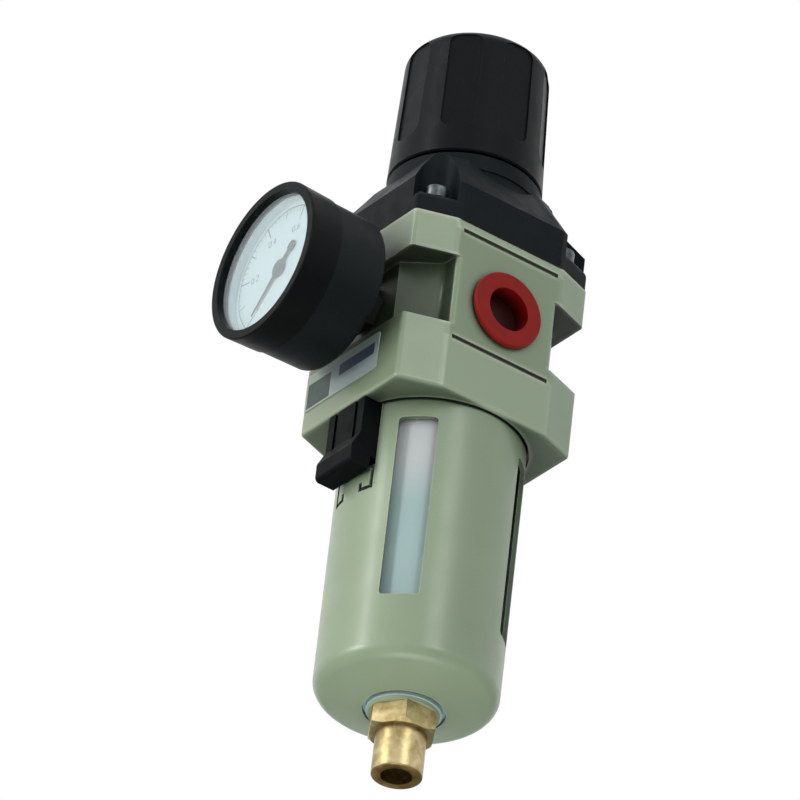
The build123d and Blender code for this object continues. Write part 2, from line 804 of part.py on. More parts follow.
with BuildPart() as valve_guide_seal:
    with Locations((0, 0, guide_seal_level)):
        Torus(guide_outer - guide_seal_wire, guide_seal_wire - thread_gap)
save(valve_guide_seal.part, "valve_guide_seal")

valve_spring = coil(valve_tail_radius + 1.6, 0.35, guide_floor, head_low, 5)
save(valve_spring, "valve_spring")

# ---------------------------------------------------------------- filter
deflector_top = guide_flange_low
deflector_low = deflector_top - deflector_thickness
blade_length = 4.0
with BuildPart() as deflector:
    post(deflector_radius, deflector_low, deflector_top)
    post(deflector_radius, deflector_low - deflector_skirt, deflector_low)
    post(
        deflector_radius - 1.2,
        deflector_low - deflector_skirt,
        deflector_low,
        Mode.SUBTRACT,
    )
    # Swirl slots through the skirt, all leaning the same way
    with Locations((0, 0, deflector_low - deflector_skirt / 2)):
        with PolarLocations(deflector_radius - 0.6, deflector_blades):
            Box(
                blade_length,
                1.6,
                deflector_skirt * 0.7,
                rotation=(0, 0, 35),
                mode=Mode.SUBTRACT,
            )
    post(guide_rod_radius + thread_gap, deflector_low, deflector_top, Mode.SUBTRACT)
save(deflector.part, "deflector")

element_low = port_level - element_low_drop
with BuildPart() as filter_element:
    post(element_radius, element_low, deflector_low)
    post(element_radius - element_wall, element_low, deflector_low, Mode.SUBTRACT)
save(filter_element.part, "filter_element")

baffle_low = element_low - baffle_thickness
with BuildPart() as baffle:
    post(baffle_radius, baffle_low, element_low)
    post(element_radius - element_wall - free_gap, element_low, element_low + 1.5)
    with BuildSketch(Plane.XY.offset(baffle_low - baffle_fin_height)):
        for fin in range(baffle_fins // 2):
            Rectangle(2 * baffle_radius - 2, 1.2, rotation=180 * fin / (baffle_fins // 2))
    extrude(amount=baffle_fin_height)
    post(guide_rod_radius + 3, baffle_low - baffle_fin_height, baffle_low)
    rod_low = port_level - guide_rod_drop
    post(guide_rod_radius + thread_gap, rod_low, element_low + 1.5, Mode.SUBTRACT)
save(baffle.part, "baffle")


# ---------------------------------------------------------------- bowl and guard
def guard_cone(radius, lift):
    """Level of the guard's conical bottom at a radius, lifted along Z."""
    return guard_low + guard_slope * (radius - guard_mouth_radius) + lift


bowl_shoulder = neck_top - free_gap
bowl_lift = cone_shift + running_gap
floor_edge = housing_flange_radius + 0.4
bowl_inner = bowl_radius - bowl_wall
bowl_bore = bowl_neck_radius - bowl_neck_wall
neck_step = bowl_shoulder - 2 * bowl_wall
floor_rise = bowl_floor_level + guard_slope * (bowl_inner - floor_edge)
bowl_neck_top = port_level - bowl_neck_drop
groove_low = port_level - seal_drop - seal_wire_radius * 1.2
groove_high = port_level - seal_drop + seal_wire_radius * 1.2
groove_radius = seal_bore_radius - seal_gap - 2 * seal_wire_radius
with BuildPart() as bowl:
    outer_corners = [
        (0, boss_low),
        (bowl_boss_radius, boss_low),
        (bowl_boss_radius, guard_cone(bowl_boss_radius, bowl_lift)),
        (bowl_radius, guard_cone(bowl_radius, bowl_lift)),
        (bowl_radius, bowl_shoulder),
        (bowl_neck_radius, bowl_shoulder),
        (bowl_neck_radius, bowl_neck_top),
        (0, bowl_neck_top),
    ]
    revolve(turned(outer_corners), axis=Axis.Z)
    foot_edges = bowl.edges().filter_by(GeomType.CIRCLE).sort_by(Axis.Z)
    foot_edge = foot_edges.filter_by(lambda edge: abs(edge.radius - bowl_radius) < 1e-6)[0]
    fillet(foot_edge, bowl_edge_radius)
    inner_corners = [
        (0, bowl_floor_level),
        (floor_edge, bowl_floor_level),
        (bowl_inner - 2, floor_rise),
        (bowl_inner, floor_rise + 2),
        (bowl_inner, neck_step),
        (bowl_bore, neck_step + 2 * (bowl_inner - bowl_bore)),
        (bowl_bore, bowl_neck_top),
        (0, bowl_neck_top),
    ]
    revolve(turned(inner_corners), axis=Axis.Z, mode=Mode.SUBTRACT)
    post(drain_spigot_radius + thread_gap, boss_low, bowl_floor_level, Mode.SUBTRACT)
    with BuildSketch(Plane.XY.offset(groove_low)):
        Circle(bowl_neck_radius + 1)
        Circle(groove_radius, mode=Mode.SUBTRACT)
    extrude(amount=groove_high - groove_low, mode=Mode.SUBTRACT)
save(bowl.part, "bowl")

with BuildPart() as bowl_seal:
    with Locations((0, 0, port_level - seal_drop)):
        Torus(groove_radius + seal_wire_radius, seal_wire_radius)
save(bowl_seal.part, "bowl_seal")

guard_inner = guard_radius - guard_wall
neck_radius_outer = guard_neck_bore + guard_neck_wall
with BuildPart() as bowl_guard:
    guard_outer_corners = [
        (0, guard_low),
        (guard_mouth_radius, guard_low),
        (guard_radius, guard_cone(guard_radius, 0)),
        (guard_radius, guard_top),
        (neck_radius_outer, guard_top),
        (neck_radius_outer, neck_top),
        (0, neck_top),
    ]
    revolve(turned(guard_outer_corners), axis=Axis.Z)
    rims = bowl_guard.edges().filter_by(GeomType.CIRCLE).sort_by(Axis.Z)
    rims = rims.filter_by(lambda edge: abs(edge.radius - guard_radius) < 1e-6)
    fillet(rims[0], guard_edge_radius)
    top_rims = bowl_guard.edges().filter_by(GeomType.CIRCLE).sort_by(Axis.Z)
    top_rims = top_rims.filter_by(lambda edge: abs(edge.radius - guard_radius) < 1e-6)
    fillet(top_rims[-1], 0.8)
    shoulder_low = guard_top - guard_wall
    guard_inner_corners = [
        (0, guard_cone(guard_mouth_radius, cone_shift)),
        (guard_mouth_radius, guard_cone(guard_mouth_radius, cone_shift)),
        (guard_inner - 2, guard_cone(guard_inner - 2, cone_shift)),
        (guard_inner, guard_cone(guard_inner, cone_shift) + 2.5),
        (guard_inner, shoulder_low),
        (guard_neck_bore, shoulder_low),
        (guard_neck_bore, neck_top),
        (0, neck_top),
    ]
    revolve(turned(guard_inner_corners), axis=Axis.Z, mode=Mode.SUBTRACT)
    post(guard_mouth_radius, guard_low, guard_low + 3 * cone_shift, Mode.SUBTRACT)
    # Four sight slots, between the lock button's side and the port sides
    window_height = window_low_drop - window_top_drop
    window_middle = port_level - (window_low_drop + window_top_drop) / 2
    for direction in (45, 135, 225, 315):
        turn = math.radians(direction)
        outwards = (math.cos(turn), math.sin(turn), 0)
        with BuildSketch(Plane(origin=(0, 0, window_middle), x_dir=(0, 0, 1), z_dir=outwards)):
            RectangleRounded(window_height, 2 * window_half_width, window_corner)
        extrude(amount=guard_radius + 1, mode=Mode.SUBTRACT)
    # Bayonet lugs on the neck, over the ledges at rest
    with BuildSketch(Plane.XY.offset(lug_low)):
        for direction in (0, 90, 180, 270):
            add(sector(lug_radius, lug_angle, direction))
        Circle(guard_neck_bore, mode=Mode.SUBTRACT)
    extrude(amount=lug_thickness)
    # Window for the lock button, with a slit down each side of the tongue under it
    button_gap = lock_half_width + free_gap
    button_low = port_level - lock_block_drop - lock_travel - free_gap
    front_plane = Plane(origin=(0, 0, 0), x_dir=(1, 0, 0), z_dir=(0, -1, 0))
    with BuildSketch(front_plane):
        with Locations((0, (button_low + guard_top) / 2)):
            Rectangle(2 * button_gap, guard_top - button_low)
    extrude(amount=guard_radius + 1, mode=Mode.SUBTRACT)
    slit_low = port_level - slit_low_drop
    with BuildSketch(front_plane):
        for side in (-1, 1):
            with Locations((side * (slit_outer - slit_width / 2), (slit_low + button_low) / 2)):
                Rectangle(slit_width, button_low - slit_low)
            slit_middle = side * (slit_outer + slit_inner) / 2
            with Locations((slit_middle, slit_low)):
                Rectangle(slit_outer - slit_inner, slit_width)
            with Locations((side * (slit_inner + slit_width / 2), slit_low)):
                Rectangle(slit_width, slit_inner_height, align=(Align.CENTER, Align.MIN))
    extrude(amount=guard_radius + 1, mode=Mode.SUBTRACT)
save(bowl_guard.part, "bowl_guard")

# ---------------------------------------------------------------- lock button
lock_back = bowl_radius + free_gap
lock_top = port_level - lock_top_drop
lock_block_low = port_level - lock_block_drop
tab_top = port_level - lock_tab_top_drop
tab_step = port_level - lock_tab_step_drop
tab_low = port_level - lock_tab_low_drop
tab_back = guard_radius + free_gap
wing_back = lock_back
wing_front = guard_inner - free_gap
with BuildPart() as lock_button:
    with BuildSketch(Plane.YZ):
        with BuildLine():
            Polyline(
                (-lock_face, lock_top),
                (-lock_face, tab_top),
                (-lock_tab_face, tab_step),
                (-lock_tab_face, tab_low),
                (-tab_back, tab_low),
                (-tab_back, lock_block_low),
                (0, lock_block_low),
                (0, lock_top),
                close=True,
            )
        make_face()
    extrude(amount=lock_half_width, both=True)
    tab_front = lock_button.edges().filter_by(Axis.X).filter_by(
        lambda edge: abs(edge.center().Y + lock_tab_face) < 1e-6
    )
    fillet(tab_front, lock_tab_edge)
    # Thumb grooves on the outer face
    for side in (-1, 1):
        with Locations((side * lock_groove_offset, -lock_face, (lock_top + tab_top) / 2)):
            Box(
                lock_groove_width,
                2 * lock_groove_depth,
                lock_top - tab_top + 2,
                mode=Mode.SUBTRACT,
            )
    # Wings behind the guard's wall, which keep the button in its window
    with BuildSketch(Plane.XY.offset(lock_block_low)):
        add(sector(wing_front, 52, 270))
    extrude(amount=lock_top - 1.5 * guard_wall - lock_block_low - lock_travel)
    post(wing_back, lock_block_low, lock_top, Mode.SUBTRACT)
    # Open channel for the return spring
    channel_half = lock_spring_radius + lock_spring_wire + free_gap
    channel_front = guard_radius + 1.5
    with Locations((0, -channel_front, button_low - free_gap)):
        Box(
            2 * channel_half,
            channel_front - wing_back + 1,
            lock_block_low + 6 - button_low + free_gap,
            align=(Align.CENTER, Align.MIN, Align.MIN),
            mode=Mode.SUBTRACT,
        )
save(lock_button.part, "lock_button")

spring_line = guard_radius - guard_wall / 2
lock_spring = coil(lock_spring_radius, lock_spring_wire, button_low, lock_block_low + 6, 7)
save(lock_spring.moved(Location((0, -spring_line, 0))), "lock_spring")

# ---------------------------------------------------------------- drain
spigot_top = bowl_floor_level + housing_flange_thickness - 0.5
hex_corner = drain_hex / math.sqrt(3)
# What is left of the hexagon's bar once its corners are turned off on the barrel's side
with BuildPart() as hex_turning:
    revolve(
        turned(
            [
                (0, 0),
                (drain_hex / 2, 0),
                (drain_hex / 2, hex_low),
                (hex_corner + 0.1, hex_low + 1.2),
                (hex_corner + 0.1, hex_high),
                (0, hex_high),
            ]
        ),
        axis=Axis.Z,
    )

with BuildPart() as drain_fitting:
    post(barrel_radius, 0, hex_low)
    fillet(drain_fitting.faces().sort_by(Axis.Z)[0].edges(), 0.4)
    with BuildSketch(Plane.XY.offset(hex_low)):
        RegularPolygon(drain_hex / 2, 6, major_radius=False, rotation=30)
    extrude(amount=drain_hex_height)
    add(hex_turning.part, mode=Mode.INTERSECT)
    post(drain_spigot_radius, hex_high, spigot_top)
    post(drain_thread_radius, 0, drain_thread_depth, Mode.SUBTRACT)
    post(drain_bore_radius, drain_thread_depth, spigot_top, Mode.SUBTRACT)
save(drain_fitting.part, "drain_fitting")

with BuildPart() as drain_washer:
    post(bowl_boss_radius - 0.6, hex_high, boss_low)
    post(drain_spigot_radius + thread_gap, hex_high, boss_low, Mode.SUBTRACT)
save(drain_washer.part, "drain_washer")

flange_level = bowl_floor_level + housing_flange_thickness
housing_top = bowl_floor_level + housing_rise
float_low = flange_level + 1.0
float_high = float_low + float_height
cap_low = float_high + float_lift + free_gap
pin_low = spigot_top + 1.2
pin_room = pin_radius + running_gap
with BuildPart() as drain_housing:
    post(housing_flange_radius, bowl_floor_level, flange_level)
    post(housing_radius, flange_level, housing_top)
    post(housing_radius + 1.0, flange_level, float_low)
    post(housing_cap_radius, cap_low, housing_top)
    post(drain_spigot_radius + thread_gap, bowl_floor_level, spigot_top, Mode.SUBTRACT)
    post(pin_room, spigot_top, pin_low + pin_length + pin_lift + free_gap, Mode.SUBTRACT)
    # Water inlets at the foot of the column
    for direction in ((1, 0, 0), (0, 1, 0)):
        side_hole = Vector(0, 0, flange_level - 1.5) - Vector(*direction) * 10
        drill(tuple(side_hole), direction, 0.8, 20)
save(drain_housing.part, "drain_housing")

with BuildPart() as float_ring:
    post(float_radius, float_low, float_high)
    fillet(float_ring.edges().filter_by(GeomType.CIRCLE), 1.5)
    post(housing_radius + free_gap, float_low, float_high, Mode.SUBTRACT)
save(float_ring.part, "float")

with BuildPart() as drain_valve:
    post(pin_radius, pin_low, pin_low + pin_length)
    with Locations((0, 0, spigot_top + 0.7)):
        Cone(drain_bore_radius - 0.4, pin_radius - 0.1, pin_low - spigot_top - 0.7, align=BASE)
save(drain_valve.part, "drain_valve")

with BuildPart() as drain_seal:
    post(pin_room - 0.02, spigot_top, spigot_top + 0.6)
    post(drain_bore_radius - 0.5, spigot_top, spigot_top + 0.6, Mode.SUBTRACT)
save(drain_seal.part, "drain_seal")

# ---------------------------------------------------------------- gauge
bezel_back = gauge_front - bezel_depth
bezel_bore = gauge_radius - bezel_wall
window_front = gauge_front - bezel_lip
window_back = window_front - window_thickness
case_front_radius = bezel_bore - running_gap
window_radius = case_front_radius - case_wall / 2
case_mid_radius = gauge_radius - case_step
dial_back = dial_front - dial_thickness
with BuildPart() as gauge_bezel:
    revolve(
        gauge_turned(
            [
                (dial_window_radius, gauge_front),
                (gauge_radius, gauge_front),
                (gauge_radius - bezel_taper, bezel_back),
                (bezel_bore, bezel_back),
                (bezel_bore, window_front),
                (dial_window_radius, window_front),
            ]
        ),
        axis=gauge_axis,
    )
    front_rims = gauge_bezel.faces().sort_by(Axis.Y)[0].edges()
    fillet(front_rims.sort_by(Edge.length)[-1], bezel_edge_radius)
    fillet(gauge_bezel.faces().sort_by(Axis.Y)[0].edges().sort_by(Edge.length)[0], 0.3)
save(gauge_bezel.part, "gauge_bezel")

with BuildPart() as gauge_case:
    revolve(
        gauge_turned(
            [
                (0, window_front),
                (case_front_radius, window_front),
                (case_front_radius, bezel_back),
                (case_mid_radius, bezel_back),
                (case_back_radius, gauge_back),
                (0, gauge_back),
            ]
        ),
        axis=gauge_axis,
    )
    rear_rim = gauge_case.faces().sort_by(Axis.Y)[-1].edges()
    fillet(rear_rim, 2.0)
    inner_radius = case_back_radius - case_wall
    ledge_radius = dial_window_radius - 1
    revolve(
        gauge_turned(
            [
                (0, window_front),
                (window_radius, window_front),
                (window_radius, dial_back),
                (ledge_radius, dial_back),
                (ledge_radius, dial_back - 1.5),
                (inner_radius, dial_back - 3.0),
                (inner_radius, gauge_back + case_wall),
                (0, gauge_back + case_wall),
            ]
        ),
        axis=gauge_axis,
        mode=Mode.SUBTRACT,
    )
    drill((0, -gauge_back, gauge_level), (0, -1, 0), gauge_port_radius + 1, case_wall)
save(gauge_case.part, "gauge_case")

with BuildPart() as gauge_window:
    drill(
        (0, -window_back, gauge_level),
        (0, -1, 0),
        window_radius - running_gap,
        window_thickness,
        Mode.ADD,
    )
save(gauge_window.part, "gauge_window")

with BuildPart() as window_seal:
    seal_depth = window_back - dial_front
    seal_start = (0, -dial_front, gauge_level)
    drill(seal_start, (0, -1, 0), window_radius - running_gap, seal_depth, Mode.ADD)
    drill(seal_start, (0, -1, 0), dial_window_radius, seal_depth)
save(window_seal.part, "window_seal")

with BuildPart() as gauge_dial:
    dial_start = (0, -dial_back, gauge_level)
    drill(dial_start, (0, -1, 0), window_radius - running_gap, dial_thickness, Mode.ADD)
    drill(dial_start, (0, -1, 0), 1.2, dial_thickness)
save(gauge_dial.part, "gauge_dial")

needle_front = needle_back + 0.3
with BuildPart() as gauge_needle:
    with BuildSketch(gauge_plane(needle_back)):
        with BuildLine():
            Polyline(
                (-needle_tail, 0.55),
                (-needle_tail * 0.5, 0.55),
                (-1.5, 0.75),
                (needle_length, 0.12),
                (needle_length, -0.12),
                (-1.5, -0.75),
                (-needle_tail * 0.5, -0.55),
                (-needle_tail, -0.55),
                close=True,
            )
        make_face()
        with Locations((-needle_tail * 0.8, 0)):
            RectangleRounded(needle_tail * 0.3, 2.6, 0.5)
        Circle(needle_hub_radius)
    extrude(amount=needle_front - needle_back)
    drill((0, -needle_back, gauge_level), (0, -1, 0), 1.4, 0.75, Mode.ADD)
    save(gauge_needle.part.rotate(gauge_axis, needle_zero), "gauge_needle")

# Socket: threaded stem, wrench hexagon behind the case and the tube's block inside it
with BuildPart() as gauge_socket:
    stem_radius = gauge_port_radius - thread_gap
    stem_start = waist_front - gauge_port_depth + 1
    drill(
        (0, -stem_start, gauge_level),
        (0, -1, 0),
        stem_radius,
        block_front - stem_start,
        Mode.ADD,
    )
    with BuildSketch(gauge_plane(waist_front + 0.5)):
        RegularPolygon(socket_hex / 2, 6, major_radius=False)
    extrude(amount=socket_hex_front - waist_front - 0.5)
    block_back = gauge_back + case_wall
    with BuildSketch(gauge_plane(block_back)):
        Rectangle(10, 10)
        with Locations((0, -tube_arc_radius / 2)):
            Rectangle(7, tube_arc_radius)
    extrude(amount=block_front - block_back)
    foot_sweep = 2 * (90 + tube_start)
    foot_radius = tube_arc_radius + 2.5
    with BuildSketch(gauge_plane(block_back)):
        add(sector(foot_radius, foot_sweep, -90))
        Circle(tube_arc_radius - 2.5, mode=Mode.SUBTRACT)
    extrude(amount=block_front - block_back)
    drill((0, -stem_start, gauge_level), (0, -1, 0), 1, block_back - stem_start)
save(gauge_socket.part, "gauge_socket")

tube_front = block_back + (block_front - block_back) / 2
with BuildPart() as bourdon_tube:
    for half_height, half_thickness, mode in (
        (tube_half_height, tube_half_thickness, Mode.ADD),
        (tube_half_height - tube_skin, tube_half_thickness - tube_skin, Mode.SUBTRACT),
    ):
        with BuildSketch(Plane.XY.offset(gauge_level)):
            with Locations((tube_arc_radius, -tube_front)):
                Ellipse(half_thickness, half_height)
        revolve(axis=gauge_axis, revolution_arc=tube_sweep, mode=mode)
save(bourdon_tube.part.rotate(gauge_axis, tube_start), "bourdon_tube")

pinion_pitch = gear_module * pinion_teeth / 2
sector_pitch = gear_module * sector_teeth / 2
centre_distance = pinion_pitch + sector_pitch
posts = [(x, z) for x in (-post_reach, post_reach) for z in (-centre_distance - post_drop, post_rise)]
screw_spots = [(x, -movement_screw_offset) for x in (-movement_screw_offset, movement_screw_offset)]
screw_hole_radius = movement_screw_head - 0.3
with BuildPart() as movement_frame:
    for level in (block_front, plate_gap_high):
        with BuildSketch(gauge_plane(level)):
            with Locations((0, -centre_distance / 2 + 0.7)):
                RectangleRounded(movement_width, centre_distance + movement_margin, 1.5)
            Circle(arbor_radius + running_gap, mode=Mode.SUBTRACT)
            with Locations((0, -centre_distance)):
                Circle(arbor_radius + running_gap, mode=Mode.SUBTRACT)
        extrude(amount=movement_plate)
    with BuildSketch(gauge_plane(block_front)):
        with Locations(*posts):
            Circle(post_radius)
    extrude(amount=plate_gap_high - block_front)
    # Holes for its two screws into the socket's block
    with BuildSketch(gauge_plane(block_front)):
        with Locations(*screw_spots):
            Circle(screw_hole_radius)
    extrude(amount=movement_plate, mode=Mode.SUBTRACT)
save(movement_frame.part, "movement_frame")

with BuildPart() as movement_screws:
    with BuildSketch(gauge_plane(block_front)):
        with Locations(*screw_spots):
            Circle(screw_hole_radius - running_gap)
    extrude(amount=movement_plate)
    with BuildSketch(gauge_plane(block_front + movement_plate)):
        with Locations(*screw_spots):
            Circle(movement_screw_head)
    extrude(amount=0.6)
save(movement_screws.part, "movement_screws")

with BuildPart() as pinion_arbor:
    with BuildSketch(gauge_plane(gear_low)):
        add(gear_outline(pinion_teeth, gear_module, 0.03).rotate(Axis.Z, 180 / pinion_teeth))
    extrude(amount=gear_high - gear_low)
    arbor_start = (0, -block_front, gauge_level)
    drill(arbor_start, (0, -1, 0), arbor_radius, needle_back - block_front, Mode.ADD)
save(pinion_arbor.part, "pinion_arbor")

with BuildPart() as sector_gear:
    with BuildSketch(gauge_plane(gear_low)):
        with Locations((0, -centre_distance)):
            add(gear_outline(sector_teeth, gear_module, 0.03).rotate(Axis.Z, 90))
            add(sector(sector_pitch * 2, sector_span, sector_lean), mode=Mode.INTERSECT)
            Circle(1.6)
            Rectangle(1.6, 3.4, align=(Align.CENTER, Align.MAX))
    extrude(amount=gear_high - gear_low)
    pivot = (0, -block_front, gauge_level - centre_distance)
    arbor_length = plate_gap_high + movement_plate - block_front
    drill(pivot, (0, -1, 0), arbor_radius, arbor_length, Mode.ADD)
save(sector_gear.part, "sector_gear")

tip_turn = math.radians(tube_start + tube_sweep - 4)
tip_x = tube_arc_radius * math.cos(tip_turn)
tip_z = tube_arc_radius * math.sin(tip_turn)
link_front = gear_low - 0.8
with BuildPart() as tube_link:
    with BuildSketch(gauge_plane(link_front - 0.4)):
        with BuildLine():
            Line((tip_x, tip_z), (-1.5, -centre_distance - 2.5))
        trace(line_width=1.1)
    extrude(amount=0.4)
    tip_origin = (tip_x, -(tube_front + tube_half_height), gauge_level + tip_z)
    drill(tip_origin, (0, -1, 0), 0.5, link_front - tube_front - tube_half_height, Mode.ADD)
save(tube_link.part, "tube_link")
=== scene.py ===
import json
import math

import bpy
from mathutils import Matrix, Vector


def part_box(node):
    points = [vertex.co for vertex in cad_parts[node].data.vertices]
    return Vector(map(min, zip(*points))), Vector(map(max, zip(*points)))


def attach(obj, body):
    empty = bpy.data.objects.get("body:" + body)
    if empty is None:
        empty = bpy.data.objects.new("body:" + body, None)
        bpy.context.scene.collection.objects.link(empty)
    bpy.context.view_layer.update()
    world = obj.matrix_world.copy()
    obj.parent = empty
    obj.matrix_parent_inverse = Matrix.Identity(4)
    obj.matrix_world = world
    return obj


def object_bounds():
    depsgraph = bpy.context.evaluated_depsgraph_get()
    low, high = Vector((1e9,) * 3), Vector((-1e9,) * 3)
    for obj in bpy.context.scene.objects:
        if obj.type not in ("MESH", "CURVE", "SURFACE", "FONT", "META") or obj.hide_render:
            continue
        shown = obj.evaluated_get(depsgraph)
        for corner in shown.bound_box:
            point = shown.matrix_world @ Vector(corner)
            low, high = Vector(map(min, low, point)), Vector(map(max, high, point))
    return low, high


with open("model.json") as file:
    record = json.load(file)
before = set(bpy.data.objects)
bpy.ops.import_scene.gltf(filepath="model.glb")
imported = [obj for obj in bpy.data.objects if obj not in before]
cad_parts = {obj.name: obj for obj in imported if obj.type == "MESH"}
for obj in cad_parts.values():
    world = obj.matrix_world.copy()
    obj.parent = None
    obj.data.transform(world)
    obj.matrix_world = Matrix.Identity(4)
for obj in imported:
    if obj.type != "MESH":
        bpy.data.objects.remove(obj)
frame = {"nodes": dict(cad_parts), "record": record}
cad_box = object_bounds()
scene = bpy.context.scene
MM = 0.001
# Between the true and the bevelled normal: at a full edge, and on a face that counts as flat
EDGE_COSINE, FLAT_COSINE = 0.8, 0.99


# ---------------------------------------------------------------- small helpers
def linear(red, green, blue):
    """Screen colour, 0 to 255, as the linear colour that a shader takes."""
    out = []
    for value in (red, green, blue):
        c = value / 255
        out.append(c / 12.92 if c <= 0.04045 else ((c + 0.055) / 1.055) ** 2.4)
    return (*out, 1.0)


def shade(tone, change=0):
    """A tone of 0 to 255 per channel, made lighter or darker by the same step in each."""
    return linear(*(channel + change for channel in tone))


def span(node):
    """Lowest corner, highest corner and middle of a CAD node."""
    low, high = (Vector(corner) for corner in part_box(node))
    return low, high, (low + high) / 2


class Shader:
    """One node-based material in object coordinates, which are the part's own metres."""

    def __init__(self, name, roughness=0.5, metallic=0.0, specular=0.5):
        self.material = bpy.data.materials.new(name)
        self.material.use_nodes = True
        self.tree = self.material.node_tree
        self.tree.nodes.clear()
        output = self.node("ShaderNodeOutputMaterial")
        self.bsdf = self.node("ShaderNodeBsdfPrincipled")
        self.link(self.bsdf.outputs[0], output.inputs[0])
        self.bsdf.inputs["Roughness"].default_value = roughness
        self.bsdf.inputs["Metallic"].default_value = metallic
        self.bsdf.inputs["Specular IOR Level"].default_value = specular
        self.coords = self.node("ShaderNodeTexCoord").outputs["Object"]
        self.normal = None

    def node(self, kind, **settings):
        made = self.tree.nodes.new(kind)
        for key, value in settings.items():
            setattr(made, key, value)
        return made

    def link(self, source, target):
        self.tree.links.new(source, target)

    def scaled(self, x, y, z):
        mapping = self.node("ShaderNodeMapping")
        mapping.inputs["Scale"].default_value = (x, y, z)
        self.link(self.coords, mapping.inputs["Vector"])
        return mapping.outputs[0]

    def noise(self, size_mm, detail=3.0, warp=0.0, vector=None):
        made = self.node("ShaderNodeTexNoise")
        made.inputs["Scale"].default_value = 1.0 / (size_mm * MM)
        made.inputs["Detail"].default_value = detail
        made.inputs["Roughness"].default_value = 0.55
        made.inputs["Distortion"].default_value = warp
        self.link(vector or self.coords, made.inputs["Vector"])
        return made.outputs["Fac"]

    def cells(self, size_mm):
        made = self.node("ShaderNodeTexVoronoi")
        made.inputs["Scale"].default_value = 1.0 / (size_mm * MM)
        self.link(self.coords, made.inputs["Vector"])
        return made.outputs["Distance"]

    def math(self, kind, a, b=None, clamp=False):
        made = self.node("ShaderNodeMath", operation=kind, use_clamp=clamp)
        for socket, value in zip(made.inputs, (a, b)):
            if value is None:
                continue
            if isinstance(value, (int, float)):
                socket.default_value = value
            else:
                self.link(value, socket)
        return made.outputs[0]

    def remap(self, value, low, high, out_low, out_high):
        made = self.node("ShaderNodeMapRange", clamp=True)
        self.link(value, made.inputs["Value"])
        for name, number in (
            ("From Min", low),
            ("From Max", high),
            ("To Min", out_low),
            ("To Max", out_high),
        ):
            made.inputs[name].default_value = number
        return made.outputs["Result"]

    def mix(self, factor, first, second):
        """Colour mix. The node has a set of sockets for each type: 6 and 7 take colours."""
        made = self.node("ShaderNodeMix", data_type="RGBA")
        for index, value in ((0, factor), (6, first), (7, second)):
            socket = made.inputs[index]
            if isinstance(value, (int, float, tuple)):
                socket.default_value = value
            else:
                self.link(value, socket)
        return made.outputs[2]

    def axis(self, name):
        made = self.node("ShaderNodeSeparateXYZ")
        self.link(self.coords, made.inputs[0])
        return made.outputs[name]

    def inside(self, value, low, high, soft):
        """1 between two numbers, 0 outside them, with soft edges."""
        rise = self.remap(value, low - soft, low + soft, 0.0, 1.0)
        fall = self.remap(value, high - soft, high + soft, 1.0, 0.0)
        return self.math("MULTIPLY", rise, fall)

    def edge(self, radius_mm):
        """1 along sharp edges, 0 on flat faces, from how far the bevelled normal turns away."""
        bevel = self.node("ShaderNodeBevel", samples=4)
        bevel.inputs["Radius"].default_value = radius_mm * MM
        geometry = self.node("ShaderNodeNewGeometry")
        dot = self.node("ShaderNodeVectorMath", operation="DOT_PRODUCT")
        self.link(bevel.outputs[0], dot.inputs[0])
        self.link(geometry.outputs["Normal"], dot.inputs[1])
        return self.remap(dot.outputs["Value"], EDGE_COSINE, FLAT_COSINE, 1.0, 0.0)

    def shelter(self, reach_mm):
        """1 on open faces, falling towards 0 in pockets and corners."""
        made = self.node("ShaderNodeAmbientOcclusion", samples=8)
        made.inputs["Distance"].default_value = reach_mm * MM
        return made.outputs["AO"]

    def bump(self, height, depth_mm):
        """Relief in the normal. A second call adds its relief to the first."""
        made = self.node("ShaderNodeBump")
        made.inputs["Strength"].default_value = 1.0
        made.inputs["Distance"].default_value = depth_mm * MM
        self.link(height, made.inputs["Height"])
        if self.normal is not None:
            self.link(self.normal, made.inputs["Normal"])
        self.normal = made.outputs[0]
        self.link(self.normal, self.bsdf.inputs["Normal"])

    def colour(self, source):
        self.link(source, self.bsdf.inputs["Base Color"])

    def rough(self, source):
        self.link(source, self.bsdf.inputs["Roughness"])


# ---------------------------------------------------------------- materials
PAINT = (146, 164, 135)
# Levels about the port axis, in metres: the band between the port faces' slots, and the waist,
# both given painted shade
PORT_BAND = (-0.0149, 0.019)
WAIST = (-0.0112, 0.0108)
# Distances from the middle plane at which a tone starts and ends
PORT_FACE = (0.0258, 0.0262)  # the port faces' painted light and shade fade in
WAIST_SIDE = (0.0252, 0.0258)  # the waist's painted shade fades out
OVERHANG = 0.002  # over this height above the port axis, undersides turn to the darkest painted shadow
CUP_DEPTH = (0.0225, 0.0270)  # painted shade in the red cups, from full to none
CUP_RADIUS = (0.0066, 0.0069)  # the same across the cup
BANDS_PER_METRE = 3.2  # of a wave texture at scale 1

